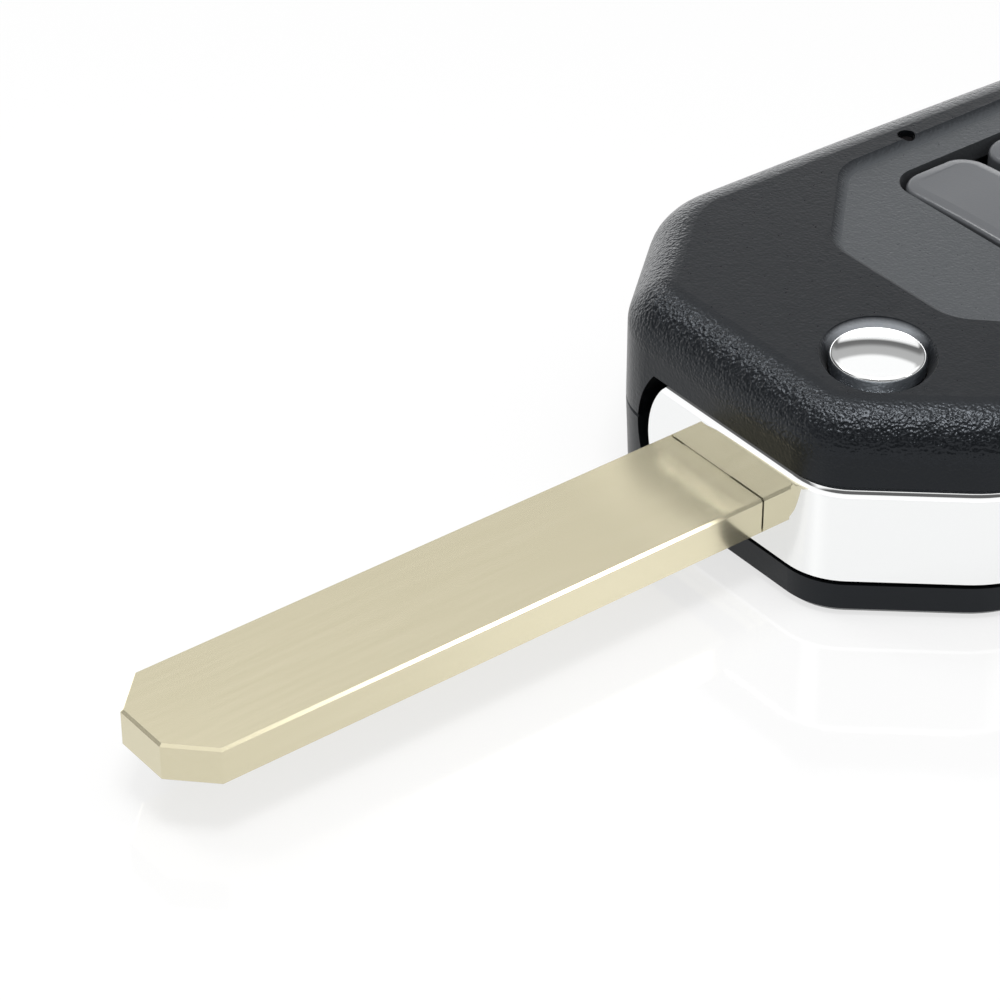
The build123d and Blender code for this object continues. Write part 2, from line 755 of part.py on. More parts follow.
key_names = ["lock_key", "unlock_key", "trunk_key"]
pieces = {
    "upper_shell": upper_shell(),
    "lower_shell": lower_shell(),
    "flip_head": flip_head(),
    "blade": blade(),
    "blade_pin": blade_pin(),
    "head_washer": head_washer(),
    "lock_sleeve": lock_sleeve(),
    "release_button": release_button(),
    "spring_seat": spring_seat(),
    "seat_screw": seat_screw(),
    "flip_spring": flip_spring(),
    "keypad_membrane": keypad_membrane(),
    "board_tray": board_tray(),
    "front_screw": case_screw(*screw_places[0]),
    "rear_screw": case_screw(*screw_places[1]),
    "indicator_guide": indicator_guide(),
    "key_ring_bar": ring_bar(),
}
for index, name in enumerate(key_names):
    pieces[name] = key(index)

os.makedirs("parts", exist_ok=True)
for name, piece in pieces.items():
    export_step(piece, f"parts/{name}.step")
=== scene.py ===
import math

import bmesh
import bpy
from mathutils import Matrix, Vector


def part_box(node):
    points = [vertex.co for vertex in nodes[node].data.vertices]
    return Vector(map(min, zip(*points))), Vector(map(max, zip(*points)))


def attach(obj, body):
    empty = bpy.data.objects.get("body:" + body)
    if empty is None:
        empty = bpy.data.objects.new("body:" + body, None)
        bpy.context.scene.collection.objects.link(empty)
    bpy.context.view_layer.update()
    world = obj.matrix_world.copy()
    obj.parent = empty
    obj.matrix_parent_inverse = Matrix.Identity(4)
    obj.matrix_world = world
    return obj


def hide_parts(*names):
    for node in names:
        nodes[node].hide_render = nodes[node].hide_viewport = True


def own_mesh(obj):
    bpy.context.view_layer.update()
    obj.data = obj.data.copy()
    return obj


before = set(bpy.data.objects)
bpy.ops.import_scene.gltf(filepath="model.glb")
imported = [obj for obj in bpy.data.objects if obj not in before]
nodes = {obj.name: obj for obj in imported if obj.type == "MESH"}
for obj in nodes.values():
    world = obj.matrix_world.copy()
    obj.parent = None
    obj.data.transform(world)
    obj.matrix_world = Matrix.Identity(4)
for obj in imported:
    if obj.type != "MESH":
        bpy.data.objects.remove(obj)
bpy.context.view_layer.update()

scene = bpy.context.scene


# Studio table: a white acrylic sheet on which the key lies. Its own even white fills the picture, and it
# keeps the soft shadow under the case and a weak mirror image of the key. It lies a hair below the key's
# flat underside.
MM = 0.001
TABLE_HALF, TABLE_DROP, TABLE_GLOW = 3000 * MM, 0.03 * MM, 0.72


def linear(code):
    """A colour written as sRGB hex, as Blender's linear numbers."""
    parts = [int(code[i:i + 2], 16) / 255 for i in (1, 3, 5)]
    return [c / 12.92 if c <= 0.04045 else ((c + 0.055) / 1.055) ** 2.4 for c in parts] + [1.0]


def add(tree, kind, links=None, **settings):
    """Adds one node to a tree, with its settings and with values or links on its inputs."""
    made = tree.nodes.new(kind)
    for name, value in settings.items():
        setattr(made, name, value)
    for name, value in (links or {}).items():
        if isinstance(value, bpy.types.NodeSocket):
            tree.links.new(value, made.inputs[name])
        else:
            made.inputs[name].default_value = value
    return made


def surface(name, **sockets):
    """A new material with one Principled shader; returns the material, its tree and the shader."""
    made = bpy.data.materials.new(name)
    made.use_nodes = True
    tree = made.node_tree
    shader = tree.nodes["Principled BSDF"]
    for socket, value in sockets.items():
        shader.inputs[socket.replace("_", " ")].default_value = value
    return made, tree, shader


mesh = bmesh.new()
bmesh.ops.create_grid(mesh, x_segments=1, y_segments=1, size=TABLE_HALF)
bmesh.ops.translate(mesh, vec=(0, 0, -TABLE_DROP), verts=mesh.verts)
data = bpy.data.meshes.new("table_top")
mesh.to_mesh(data)
mesh.free()
table = bpy.data.objects.new("table_top", data)
scene.collection.objects.link(table)

white_acrylic, tree, shader = surface("white_acrylic", Roughness=0.06)
shader.inputs["Base Color"].default_value = linear("#6A6A6A")
shader.inputs["Emission Color"].default_value = linear("#FFFFFF")
path = add(tree, "ShaderNodeLightPath")
seen = add(tree, "ShaderNodeMath", {0: path.outputs["Is Camera Ray"], 1: path.outputs["Is Glossy Ray"]},
           operation="MAXIMUM")
seen = add(tree, "ShaderNodeMath", {0: seen.outputs[0], 1: path.outputs["Is Transmission Ray"]},
           operation="MAXIMUM")
glow = add(tree, "ShaderNodeMath", {0: seen.outputs[0], 1: TABLE_GLOW}, operation="MULTIPLY")
tree.links.new(glow.outputs[0], shader.inputs["Emission Strength"])
data.materials.append(white_acrylic)

# Studio walls: behind the key a pale ring low down, a dark strip and a greyer wall above it. The wall on
# the blade's side is white, and so is the ceiling, brightest straight overhead. Three dark screens give
# the chrome and the nose their dark parts.
# Each step of the wall is the sine of its height above the table, and the shade there.
WALL_STEPS = ((0.36, 1.0), (0.41, 0.14), (0.47, 0.18), (0.53, 0.46), (0.63, 0.48), (0.67, 1.05), (0.85, 1.05))
WALL_FOOT, OVERHEAD, WHITE_WALL, SCREEN_DARK = 0.92, 2.4, 1.05, 0.12
# Each screen is the way it stands, the cosine at its side edges, and the sines at its foot and its top.
DARK_SCREENS = (((0.61, -0.79, 0), 0.8, 0.0, 0.2), ((-0.61, -0.79, 0), 0.62, 0.3, 0.72),
                ((-0.61, 0.79, 0), 0.58, 0.36, 0.68))
SIDE_BLUR, LEVEL_BLUR = 0.08, 0.03


def grey(shade):
    """An even grey of a linear shade."""
    return (shade, shade, shade, 1)


world = bpy.data.worlds.new("studio")
scene.world = world
world.use_nodes = True
tree = world.node_tree
direction = add(tree, "ShaderNodeTexCoord").outputs["Generated"]
height = add(tree, "ShaderNodeSeparateXYZ", {0: direction}).outputs["Z"]
walls = add(tree, "ShaderNodeValToRGB", {0: height})
for place, shade in WALL_STEPS:
    walls.color_ramp.elements.new(place).color = grey(shade)
walls.color_ramp.elements[0].color = grey(WALL_FOOT)
walls.color_ramp.elements[-1].color = grey(OVERHEAD)
facing = add(tree, "ShaderNodeVectorMath", {0: direction, 1: (-1, -0.2, 0)}, operation="DOT_PRODUCT")
facing = add(tree, "ShaderNodeMapRange", {"Value": facing.outputs["Value"], "From Min": -0.1,
                                          "From Max": 0.3})
room = add(tree, "ShaderNodeMix", {0: facing.outputs[0], 6: walls.outputs[0], 7: grey(WHITE_WALL)},
           data_type="RGBA")
for way, edge, foot, top in DARK_SCREENS:
    across = add(tree, "ShaderNodeVectorMath", {0: direction, 1: way}, operation="DOT_PRODUCT")
    across = add(tree, "ShaderNodeMapRange", {"Value": across.outputs["Value"], "From Min": edge - SIDE_BLUR,
                                              "From Max": edge + SIDE_BLUR})
    above = add(tree, "ShaderNodeMapRange", {"Value": height, "From Min": foot - LEVEL_BLUR,
                                             "From Max": foot + LEVEL_BLUR})
    below = add(tree, "ShaderNodeMapRange", {"Value": height, "From Min": top + LEVEL_BLUR,
                                             "From Max": top - LEVEL_BLUR})
    screen = add(tree, "ShaderNodeMath", {0: above.outputs[0], 1: below.outputs[0]}, operation="MULTIPLY")
    screen = add(tree, "ShaderNodeMath", {0: screen.outputs[0], 1: across.outputs[0]}, operation="MULTIPLY")
    room = add(tree, "ShaderNodeMix", {0: screen.outputs[0], 6: room.outputs[2], 7: grey(SCREEN_DARK)},
               data_type="RGBA")
path = add(tree, "ShaderNodeLightPath")
shown = add(tree, "ShaderNodeMix", {0: path.outputs["Is Camera Ray"], 6: room.outputs[2], 7: grey(1)},
            data_type="RGBA")
tree.links.new(shown.outputs[2], tree.nodes["Background"].inputs["Color"])


# Studio lamps: a ceiling box, one to the side and a small one near the camera for the bright lines on
# the edges, and a long low box behind that lights the key's far side.
def softbox(name, place, aim, width, depth, power):
    """A soft rectangular studio lamp that points at a place on the key."""
    lamp = bpy.data.lights.new(name, "AREA")
    lamp.shape = "RECTANGLE"
    lamp.size = width
    lamp.size_y = depth
    lamp.energy = power
    holder = bpy.data.objects.new(name, lamp)
    holder.location = place
    holder.rotation_euler = (Vector(aim) - Vector(place)).to_track_quat("-Z", "Y").to_euler()
    scene.collection.objects.link(holder)


softbox("ceiling_softbox", (-0.05, -0.06, 0.7), (0, 0, 0), 0.23, 0.23, 3.6)
softbox("side_softbox", (-0.12, 0.37, 0.58), (0, 0, 0.01), 0.2, 0.2, 1.5)
softbox("near_softbox", (0.35, -0.4, 0.45), (0, 0, 0.015), 0.13, 0.13, 0.27)
softbox("low_softbox", (0.34, 0.5, 0.125), (0.02, 0.01, 0.01), 1.2, 0.18, 1.3)

# Camera: a long lens on a stand before the blade's tip, turned and raised as the photo's edges give it.
camera_data = bpy.data.cameras.new("camera")
camera_data.lens = 141.05
camera_data.sensor_width = 36.0
camera_data.clip_start = 0.01
camera = bpy.data.objects.new("camera", camera_data)
camera.location = (-0.1502, -0.1546, 0.1538)
camera.rotation_euler = (math.radians(54.92), 0.0, math.radians(-37.62))
scene.collection.objects.link(camera)
scene.camera = camera
scene.view_settings.view_transform = "Standard"

# Upper shell: black ABS moulded in a spark-eroded tool and screwed to the lower shell from below. Its
# roof has a fine grain that glints on the rounded edge, and its side walls are nearly smooth. The keypad's
# recess is a satin finish with a paler grey painted on for its sheen, and the far slope of the dish round
# the release button has a pale grey painted highlight where the light falls on it.
ROOF, GRAIN, GRAIN_DEPTH = 15.4 * MM, 0.2 * MM, 0.08 * MM
RECESS_FRONT, RECESS_MIDDLE, RECESS_HALF, RECESS_DEPTH = 6 * MM, 5.9 * MM, 13 * MM, 0.43 * MM
# After the dish's radius come the way across the roof and the start and end of the painted highlight on its
# far slope.
DISH_RADIUS, LIT_SLOPE_WAY, LIT_SLOPE_START, LIT_SLOPE_END = 5 * MM, (0.61, 0.79, 0), 1.2 * MM, 3 * MM
GRAIN_TOP, GRAIN_FOOT = 13.5 * MM, 11.5 * MM
WALL_GRAIN, FLAT_GRAIN, SATIN_GRAIN, SLOPE_ROUGHNESS = 0.15, 0.14, 0.2, 0.7
COOL_GLOSS = linear("#EDF5FF")


def finish_nodes(material, *names):
    """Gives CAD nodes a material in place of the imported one."""
    for name in names:
        nodes[name].data.materials.clear()
        nodes[name].data.materials.append(material)


grained_abs, tree, shader = surface("grained_black_abs", IOR=1.5, Specular_IOR_Level=0.3,
                                    Specular_Tint=COOL_GLOSS, Sheen_Weight=0.04, Sheen_Roughness=0.3)
spot = add(tree, "ShaderNodeTexCoord").outputs["Object"]
place = add(tree, "ShaderNodeSeparateXYZ", {0: spot})

# Where the satin is, with its painted sheen: sunk below the roof, in the recess or in the dish.
sunk = add(tree, "ShaderNodeMapRange", {"Value": place.outputs["Z"], "From Min": ROOF - 0.05 * MM,
                                        "From Max": ROOF - RECESS_DEPTH})
behind = add(tree, "ShaderNodeMapRange", {"Value": place.outputs["X"], "From Min": RECESS_FRONT - 0.5 * MM,
                                          "From Max": RECESS_FRONT})
aside = add(tree, "ShaderNodeMath", {0: place.outputs["Y"], 1: RECESS_MIDDLE}, operation="SUBTRACT")
aside = add(tree, "ShaderNodeMath", {0: aside.outputs[0]}, operation="ABSOLUTE")
aside = add(tree, "ShaderNodeMapRange", {"Value": aside.outputs[0], "From Min": RECESS_HALF + 0.4 * MM,
                                         "From Max": RECESS_HALF})
recess = add(tree, "ShaderNodeMath", {0: behind.outputs[0], 1: aside.outputs[0]}, operation="MULTIPLY")
flat = add(tree, "ShaderNodeVectorMath", {0: spot, 1: (1, 1, 0)}, operation="MULTIPLY")
reach = add(tree, "ShaderNodeVectorMath", {0: flat.outputs[0]}, operation="LENGTH")
dish = add(tree, "ShaderNodeMapRange", {"Value": reach.outputs["Value"], "From Min": DISH_RADIUS + 0.2 * MM,
                                        "From Max": DISH_RADIUS})
satin_and_painted_sheen = add(tree, "ShaderNodeMath", {0: recess.outputs[0], 1: dish.outputs[0]}, operation="MAXIMUM")
satin_and_painted_sheen = add(tree, "ShaderNodeMath", {0: satin_and_painted_sheen.outputs[0], 1: sunk.outputs[0]}, operation="MULTIPLY")

# The colours: black, the recess's grey, which is painted sheen, the dish's near black, and its far slope's
# pale grey, which is a painted highlight where the light falls.
painted_sheen_and_highlight = add(tree, "ShaderNodeMix", {0: dish.outputs[0], 6: linear("#393B3D"), 7: linear("#1B1D20")},
           data_type="RGBA")
# Painted highlight: the dish's far slope, where the light falls on it, is coloured a pale grey.
painted_highlight_slope = add(tree, "ShaderNodeVectorMath", {0: spot, 1: LIT_SLOPE_WAY}, operation="DOT_PRODUCT")
painted_highlight_slope = add(tree, "ShaderNodeMapRange", {"Value": painted_highlight_slope.outputs["Value"], "From Min": LIT_SLOPE_START,
                                          "From Max": LIT_SLOPE_END})
painted_highlight_slope = add(tree, "ShaderNodeMath", {0: painted_highlight_slope.outputs[0], 1: dish.outputs[0]}, operation="MULTIPLY")
painted_sheen_and_highlight = add(tree, "ShaderNodeMix", {0: painted_highlight_slope.outputs[0], 6: painted_sheen_and_highlight.outputs[2], 7: linear("#8A8D91")},
           data_type="RGBA")
# The painted sheen and highlight greys go over the black where the satin is.
tone = add(tree, "ShaderNodeMix", {0: satin_and_painted_sheen.outputs[0], 6: linear("#07090C"), 7: painted_sheen_and_highlight.outputs[2]},
           data_type="RGBA")
tree.links.new(tone.outputs[2], shader.inputs["Base Color"])

# The grain: full on the rounded edge, weak on the flat roof, the satin and the walls.
pebbles = add(tree, "ShaderNodeTexNoise", {"Vector": spot, "Scale": 0.5 / GRAIN, "Detail": 2.0,
                                           "Roughness": 0.55})
cells = add(tree, "ShaderNodeTexVoronoi", {"Vector": spot, "Scale": 1 / GRAIN}, feature="SMOOTH_F1")
mixed = add(tree, "ShaderNodeMath", {0: pebbles.outputs["Fac"], 1: cells.outputs["Distance"]},
            operation="ADD")
high = add(tree, "ShaderNodeMapRange", {"Value": place.outputs["Z"], "From Min": GRAIN_FOOT,
                                        "From Max": GRAIN_TOP, "To Min": WALL_GRAIN, "To Max": 1.0})
deep = add(tree, "ShaderNodeMapRange", {"Value": satin_and_painted_sheen.outputs[0], "To Min": 1.0, "To Max": SATIN_GRAIN})
level = add(tree, "ShaderNodeMapRange", {"Value": place.outputs["Z"], "From Min": ROOF - 0.2 * MM,
                                         "From Max": ROOF, "To Min": 1.0, "To Max": FLAT_GRAIN})
grain = add(tree, "ShaderNodeMath", {0: high.outputs[0], 1: deep.outputs[0]}, operation="MULTIPLY")
grain = add(tree, "ShaderNodeMath", {0: grain.outputs[0], 1: level.outputs[0]}, operation="MULTIPLY")
relief = add(tree, "ShaderNodeBump", {"Height": mixed.outputs[0], "Strength": grain.outputs[0],
                                      "Distance": GRAIN_DEPTH})
tree.links.new(relief.outputs["Normal"], shader.inputs["Normal"])

# The gloss: uneven with the grain, and dull on the recess's slopes.
uneven = add(tree, "ShaderNodeMapRange", {"Value": pebbles.outputs["Fac"], "To Min": 0.24, "To Max": 0.36})
leaning = add(tree, "ShaderNodeSeparateXYZ", {0: add(tree, "ShaderNodeNewGeometry").outputs["True Normal"]})
leaning = add(tree, "ShaderNodeMapRange", {"Value": leaning.outputs["Z"], "From Min": 0.99, "From Max": 0.9})
leaning = add(tree, "ShaderNodeMath", {0: leaning.outputs[0], 1: recess.outputs[0]}, operation="MULTIPLY")
dull = add(tree, "ShaderNodeMix", {0: leaning.outputs[0], 2: uneven.outputs[0], 3: SLOPE_ROUGHNESS})
tree.links.new(dull.outputs[0], shader.inputs["Roughness"])
finish_nodes(grained_abs, "upper_shell")

# Lower shell: the same black ABS, moulded in a tool with a fine satin finish, so it gleams softly and
# shows no grain. The upper shell reaches down inside its wall, and two screws pull the halves together.
SATIN_DEPTH = 0.02 * MM


def satin_moulding(name, ior, per_mm, strength, smooth, rough, **sockets):
    """Moulded plastic with a fine even texture in its relief and in its gloss."""
    made, tree, shader = surface(name, IOR=ior, **sockets)
    spot = add(tree, "ShaderNodeTexCoord").outputs["Object"]
    texture = add(tree, "ShaderNodeTexNoise", {"Vector": spot, "Scale": per_mm / MM, "Detail": 1.0})
    relief = add(tree, "ShaderNodeBump", {"Height": texture.outputs["Fac"], "Strength": strength,
                                          "Distance": SATIN_DEPTH})
    tree.links.new(relief.outputs["Normal"], shader.inputs["Normal"])
    uneven = add(tree, "ShaderNodeMapRange", {"Value": texture.outputs["Fac"], "To Min": smooth,
                                              "To Max": rough})
    tree.links.new(uneven.outputs[0], shader.inputs["Roughness"])
    return made


satin_abs = satin_moulding("satin_black_abs", 1.5, 6, 0.15, 0.3, 0.42, Specular_IOR_Level=0.26,
                           Specular_Tint=COOL_GLOSS, Sheen_Weight=0.04, Sheen_Roughness=0.3,
                           Base_Color=linear("#0D0F12"))
finish_nodes(satin_abs, "lower_shell")

# Blade head: zinc die casting, polished and chromed, so it mirrors the room with a barely wavy surface.
# It turns on its two journals between the shells.
RIPPLES_PER_MM, RIPPLE_DEPTH = 0.12, 0.1 * MM
chromed_zinc, tree, shader = surface("chromed_zinc", Metallic=1.0, Base_Color=linear("#F7F8F8"))
spot = add(tree, "ShaderNodeTexCoord").outputs["Object"]
ripple = add(tree, "ShaderNodeTexNoise", {"Vector": spot, "Scale": RIPPLES_PER_MM / MM, "Detail": 2.0})
relief = add(tree, "ShaderNodeBump", {"Height": ripple.outputs["Fac"], "Strength": 0.05,
                                      "Distance": RIPPLE_DEPTH})
tree.links.new(relief.outputs["Normal"], shader.inputs["Normal"])
uneven = add(tree, "ShaderNodeMapRange", {"Value": ripple.outputs["Fac"], "To Min": 0.03, "To Max": 0.07})
tree.links.new(uneven.outputs[0], shader.inputs["Roughness"])
finish_nodes(chromed_zinc, "flip_head")

# Release button: zinc die casting, polished and chromed like the head. Its face is domed inside a rolled
# rim and it stands just proud of the roof, sliding in the roof's bore.
BUTTON_RADIUS, BUTTON_RIM, BUTTON_ROLL, BUTTON_DOME = 3.26 * MM, 15.18 * MM, 0.32 * MM, 0.35 * MM
BUTTON_SIDES, DOME_RINGS, DOME_STEP = 96, 11, 0.25 * MM
TOUCH = 0.001 * MM


def new_piece(mesh, name, material):
    """The finished mesh as one smooth object with its sharp edges kept."""
    bmesh.ops.recalc_face_normals(mesh, faces=mesh.faces[:])
    data = bpy.data.meshes.new(name)
    mesh.to_mesh(data)
    mesh.free()
    data.shade_smooth()
    data.set_sharp_from_angle(angle=math.radians(40))
    data.materials.append(material)
    made = bpy.data.objects.new(name, data)
    scene.collection.objects.link(made)
    return made


def top_disc():
    """The round face in the middle of the button's top."""
    return [f for f in mesh.faces if len(f.verts) == BUTTON_SIDES and
            f.calc_center_median().z > BUTTON_RIM - TOUCH]


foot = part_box("release_button")[0][2]
mesh = bmesh.new()
bmesh.ops.create_circle(mesh, cap_ends=True, segments=BUTTON_SIDES, radius=BUTTON_RADIUS)
bmesh.ops.translate(mesh, vec=(0, 0, foot), verts=mesh.verts)
raised = bmesh.ops.extrude_face_region(mesh, geom=mesh.faces[:])["geom"]
raised = [v for v in raised if isinstance(v, bmesh.types.BMVert)]
bmesh.ops.translate(mesh, vec=(0, 0, BUTTON_RIM - foot), verts=raised)
rim = [e for e in mesh.edges if min(v.co.z for v in e.verts) > BUTTON_RIM - TOUCH]
bmesh.ops.bevel(mesh, geom=rim, offset=BUTTON_ROLL, segments=8, profile=0.5, affect="EDGES", material=-1)
for _ in range(DOME_RINGS):
    bmesh.ops.inset_region(mesh, faces=top_disc(), thickness=DOME_STEP)
bmesh.ops.poke(mesh, faces=top_disc())
for vert in mesh.verts:
    out = math.hypot(vert.co.x, vert.co.y) / (BUTTON_RADIUS - BUTTON_ROLL)
    if vert.co.z > BUTTON_RIM - TOUCH and out < 1:
        vert.co.z += BUTTON_DOME * (1 - out ** 2)
button = new_piece(mesh, "release_button_cap", chromed_zinc)
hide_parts("release_button")
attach(button, "release")

# Blade: nickel silver blank, blanked and tumbled smooth with a faint lengthwise haze, pinned into the
# head by its tang. Its flat is a little duller at the root, where it is held.
HAZE_PER_MM, HAZE_STRETCH = 2.5, 0.06
ROOT_START, ROOT_END, ROOT_DULL = -18.5 * MM, -14.5 * MM, 0.1
nickel_silver, tree, shader = surface("nickel_silver", Metallic=0.75)
spot = add(tree, "ShaderNodeTexCoord").outputs["Object"]
along = add(tree, "ShaderNodeMapping", {"Vector": spot, "Scale": (HAZE_STRETCH, 1.0, 1.0)})
haze = add(tree, "ShaderNodeTexNoise", {"Vector": along.outputs[0], "Scale": HAZE_PER_MM / MM,
                                        "Detail": 2.0})
tone = add(tree, "ShaderNodeMix", {0: haze.outputs["Fac"], 6: linear("#DDD5B6"), 7: linear("#E1D9BC")},
           data_type="RGBA")
tree.links.new(tone.outputs[2], shader.inputs["Base Color"])
uneven = add(tree, "ShaderNodeMapRange", {"Value": haze.outputs["Fac"], "To Min": 0.12, "To Max": 0.17})
place = add(tree, "ShaderNodeSeparateXYZ", {0: spot})
root = add(tree, "ShaderNodeMapRange", {"Value": place.outputs["X"], "From Min": ROOT_START,
                                        "From Max": ROOT_END})
upward = add(tree, "ShaderNodeSeparateXYZ", {0: add(tree, "ShaderNodeNewGeometry").outputs["True Normal"]})
held = add(tree, "ShaderNodeMath", {0: root.outputs[0], 1: upward.outputs["Z"]}, operation="MULTIPLY")
dull = add(tree, "ShaderNodeMath", {0: held.outputs[0], 1: ROOT_DULL, 2: uneven.outputs[0]},
           operation="MULTIPLY_ADD")
tree.links.new(dull.outputs[0], shader.inputs["Roughness"])
finish_nodes(nickel_silver, "blade")

# Blade pin: slotted spring pin rolled from bare spring steel strip, a little dull from the rolling. It
# holds the blade's tang in the head.
ALL_WAYS = (1.0, 1.0, 1.0)


def two_tones(name, first, second, smooth, rough, per_mm, detail=2.0, stretch=ALL_WAYS, **sockets):
    """A material that wanders between two colours and two roughnesses, spots per millimetre given."""
    made, tree, shader = surface(name, **sockets)
    spot = add(tree, "ShaderNodeTexCoord").outputs["Object"]
    if stretch != ALL_WAYS:
        spot = add(tree, "ShaderNodeMapping", {"Vector": spot, "Scale": stretch}).outputs[0]
    cloud = add(tree, "ShaderNodeTexNoise", {"Vector": spot, "Scale": per_mm / MM, "Detail": detail})
    tone = add(tree, "ShaderNodeMix", {0: cloud.outputs["Fac"], 6: linear(first), 7: linear(second)},
               data_type="RGBA")
    tree.links.new(tone.outputs[2], shader.inputs["Base Color"])
    uneven = add(tree, "ShaderNodeMapRange", {"Value": cloud.outputs["Fac"], "To Min": smooth,
                                              "To Max": rough})
    tree.links.new(uneven.outputs[0], shader.inputs["Roughness"])
    return made


spring_steel = two_tones("spring_steel", "#8C8C8E", "#A9A9AA", 0.25, 0.4, 1.8, Metallic=1.0)
finish_nodes(spring_steel, "blade_pin")

# Flip spring: round spring steel wire wound to a coil, with a straight leg at each end. The lower leg
# stands in the seat and the upper one goes round and down with the sleeve. The coil is made at one
# length and is not pressed together by the stroke.
WIRE, COIL, LEG, STROKE = 0.7 * MM, 2.25 * MM, 0.6 * MM, 2.2 * MM
TURNS, LEG_TURN, WIRE_SIDES, STEPS_PER_TURN = 4.5, 4, 12, 32
low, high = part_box("flip_spring")
first, last = low[2] + WIRE / 2 + LEG, high[2] - WIRE / 2 - LEG
mesh = bmesh.new()
bmesh.ops.create_circle(mesh, segments=WIRE_SIDES, radius=WIRE / 2)
bmesh.ops.rotate(mesh, cent=(0, 0, 0), matrix=Matrix.Rotation(math.radians(90), 3, "X"), verts=mesh.verts)
bmesh.ops.translate(mesh, vec=(COIL, 0, first), verts=mesh.verts)
steps = int(TURNS * STEPS_PER_TURN)
bmesh.ops.spin(mesh, geom=mesh.verts[:] + mesh.edges[:], cent=(0, 0, 0), axis=(0, 0, 1),
               dvec=(0, 0, (last - first) / steps), angle=2 * math.pi * TURNS, steps=steps)
bmesh.ops.holes_fill(mesh, edges=[e for e in mesh.edges if e.is_boundary])


def straight_leg(mesh, turn, start, end):
    """A straight end of the wire, upright beside the coil, with its cut edge broken."""
    leg = bmesh.ops.create_cone(mesh, cap_ends=True, segments=WIRE_SIDES, radius1=WIRE / 2,
                                radius2=WIRE / 2, depth=end - start)["verts"]
    bmesh.ops.translate(mesh, vec=(COIL, 0, (start + end) / 2), verts=leg)
    bmesh.ops.rotate(mesh, cent=(0, 0, 0), matrix=Matrix.Rotation(math.radians(turn), 3, "Z"), verts=leg)
    cut = [e for e in mesh.edges if e.verts[0] in leg and e.verts[1] in leg and
           abs(e.verts[0].co.z - e.verts[1].co.z) < TOUCH / 10]
    bmesh.ops.bevel(mesh, geom=cut, offset=WIRE / 8, segments=2, profile=0.5, affect="EDGES", material=-1)


straight_leg(mesh, LEG_TURN, first - WIRE / 2 - LEG, first)
spring = new_piece(mesh, "flip_spring_coil", spring_steel)
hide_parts("flip_spring")
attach(spring, "case")
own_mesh(spring)
mesh = bmesh.new()
straight_leg(mesh, 360 * TURNS - LEG_TURN, last, last + WIRE / 2 + LEG)
upper_leg = new_piece(mesh, "flip_spring_upper_leg", spring_steel)
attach(upper_leg, "release")

# Sleeve, spring seat and washer: natural acetal, turned or moulded, with its faint milky gloss. The
# sleeve carries the button, the seat is keyed to its post in the case and the head turns on the washer.
acetal = two_tones("natural_acetal", "#D8D5CB", "#E2E0D8", 0.3, 0.4, 0.4, IOR=1.48)
finish_nodes(acetal, "lock_sleeve", "spring_seat", "head_washer")

# Screws: cold-headed steel, zinc plated, with the plating's slightly mottled shine. Two close the case
# from below and the small one holds the spring's seat on its post.
zinc_plate = two_tones("zinc_plate", "#A7AAAE", "#C2C5C9", 0.2, 0.35, 0.9, detail=3.0, Metallic=1.0)
finish_nodes(zinc_plate, "seat_screw", "front_screw", "rear_screw")

# Key ring bar: ground steel rod caught between the shells across the tail's notch, with the fine rings
# that grinding leaves round it.
ground_steel = two_tones("ground_steel", "#B4B4B5", "#CECECF", 0.12, 0.24, 5, stretch=(0.05, 1.0, 0.05),
                         Metallic=1.0)
finish_nodes(ground_steel, "key_ring_bar")

# Keys: three caps of dark grey ABS with a fine satin texture, crowned both ways and softly rolled over at
# the rim. Two ears catch each under the roof, and a dome of the membrane pushes it up.
KEY_WIDTH, KEY_PLAY, KEY_CORNER, KEY_RIM = 20 * MM, 0.16 * MM, 1.9 * MM, 0.3 * MM
CROWN_ACROSS, CROWN_ALONG, SLICE, TOP_STEP = 0.45 * MM, 0.3 * MM, 1.2 * MM, 0.6 * MM
EAR_LENGTH, EAR_WIDTH, EAR_HEIGHT, EAR_FROM_MIDDLE, EAR_EDGE = (3.3 * MM, 1.9 * MM, 0.75 * MM, 9.95 * MM,
                                                                0.12 * MM)
key_abs = satin_moulding("satin_grey_abs", 1.52, 7, 0.2, 0.28, 0.36, Base_Color=linear("#45474A"))


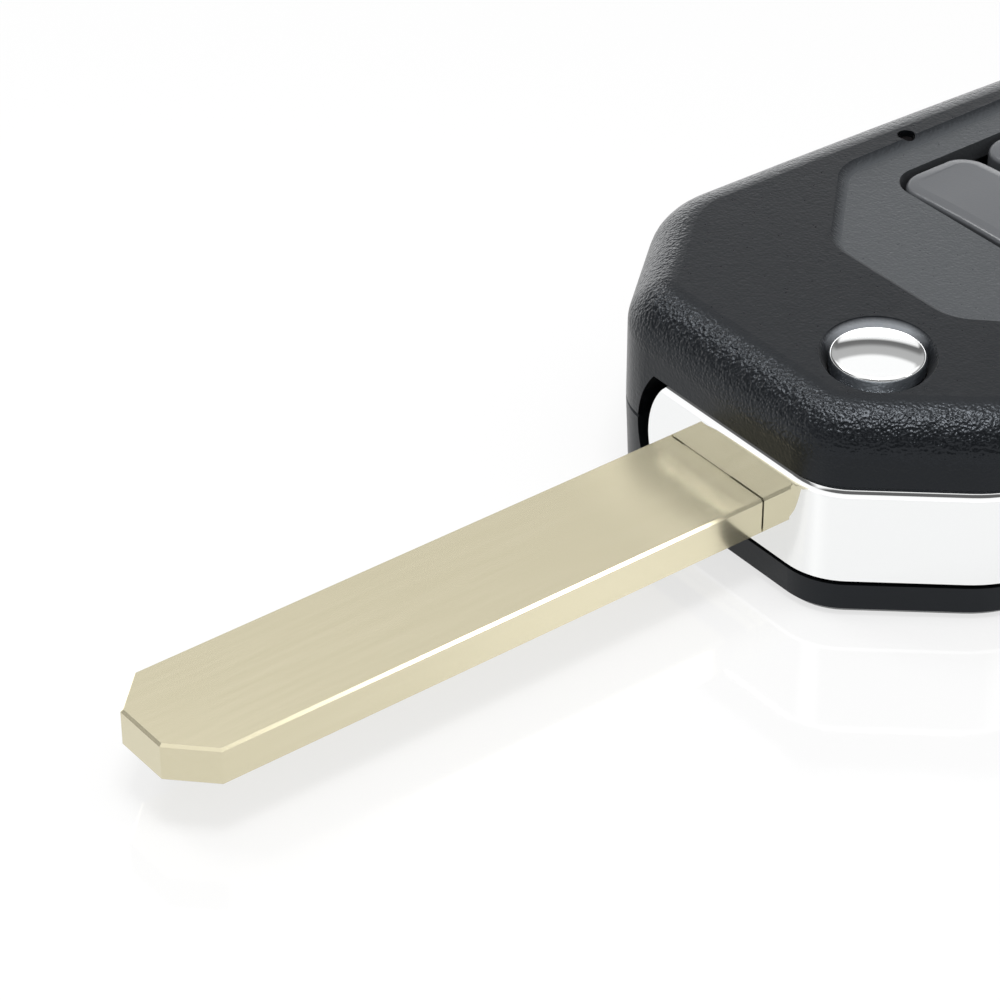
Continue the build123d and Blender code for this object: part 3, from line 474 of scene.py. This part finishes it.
def key_cap(name):
    """One moulded cap with its two ears, in the place of the solid key."""
    low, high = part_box(name)
    middle = (Vector(low) + Vector(high)) / 2
    length, tall = high[0] - low[0] - KEY_PLAY, high[2] - low[2]
    mesh = bmesh.new()
    bmesh.ops.create_cube(mesh, size=1.0)
    bmesh.ops.scale(mesh, vec=(length, KEY_WIDTH, tall), verts=mesh.verts)
    corners = [e for e in mesh.edges if abs(e.verts[0].co.z - e.verts[1].co.z) > tall / 2]
    bmesh.ops.bevel(mesh, geom=corners, offset=KEY_CORNER, segments=8, profile=0.5, affect="EDGES",
                    material=-1)
    for step in range(-6, 7):
        bmesh.ops.bisect_plane(mesh, geom=mesh.verts[:] + mesh.edges[:] + mesh.faces[:], dist=TOUCH / 10,
                               plane_co=(0, step * SLICE, 0), plane_no=(0, 1, 0))
    top = max(v.co.z for v in mesh.verts)
    brim = [e for e in mesh.edges if min(v.co.z for v in e.verts) > top - TOUCH and
            any(abs(f.normal.z) < 0.5 for f in e.link_faces)]
    bmesh.ops.bevel(mesh, geom=brim, offset=KEY_RIM, segments=5, profile=0.5, affect="EDGES", material=-1)
    for _ in range(4):
        lid = [f for f in mesh.faces if f.calc_center_median().z > top - TOUCH]
        bmesh.ops.inset_region(mesh, faces=lid, thickness=TOP_STEP, use_even_offset=True)
    for vert in mesh.verts:
        if vert.co.z > 0:
            vert.co.z -= (CROWN_ACROSS * (2 * vert.co.y / KEY_WIDTH) ** 2
                          + CROWN_ALONG * (2 * vert.co.x / length) ** 2)
    for side in (1, -1):
        ear = bmesh.ops.create_cube(mesh, size=1.0)["verts"]
        bmesh.ops.scale(mesh, vec=(EAR_LENGTH, EAR_WIDTH, EAR_HEIGHT), verts=ear)
        bmesh.ops.translate(mesh, vec=(0, side * EAR_FROM_MIDDLE, (EAR_HEIGHT - tall) / 2), verts=ear)
        edges = list({e for v in ear for e in v.link_edges})
        bmesh.ops.bevel(mesh, geom=edges, offset=EAR_EDGE, segments=2, profile=0.5, affect="EDGES",
                        material=-1)
    bmesh.ops.translate(mesh, vec=middle, verts=mesh.verts)
    cap = new_piece(mesh, name + "_cap", key_abs)
    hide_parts(name)
    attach(cap, name)


for name in ("lock_key", "unlock_key", "trunk_key"):
    key_cap(name)

# Membrane: one sheet moulded in dark silicone, a little cloudy and dull, with a dome under each key. The
# board tray backs it.
silicone = two_tones("dark_silicone", "#2B2C2E", "#333436", 0.5, 0.65, 0.5, IOR=1.41)
finish_nodes(silicone, "keypad_membrane")

# Board tray: plain black ABS moulding with a coarse matt texture. It backs the membrane, with an empty
# bay for a board and a hole for a coin cell.
TRAY_TEXTURE_PER_MM = 3
tray_abs, tree, shader = surface("matt_black_abs", IOR=1.52, Base_Color=linear("#232324"))
spot = add(tree, "ShaderNodeTexCoord").outputs["Object"]
texture = add(tree, "ShaderNodeTexNoise", {"Vector": spot, "Scale": TRAY_TEXTURE_PER_MM / MM, "Detail": 2.0})
uneven = add(tree, "ShaderNodeMapRange", {"Value": texture.outputs["Fac"], "To Min": 0.55, "To Max": 0.7})
tree.links.new(uneven.outputs[0], shader.inputs["Roughness"])
finish_nodes(tray_abs, "board_tray")

# Light guide: smoked polycarbonate, which lets a lamp through and is nearly black without one. It is
# pushed from below into the round hole beyond the first key.
smoked_guide = two_tones("smoked_polycarbonate", "#0C0B0B", "#131112", 0.15, 0.2, 0.8, detail=1.0, IOR=1.58)
finish_nodes(smoked_guide, "indicator_guide")
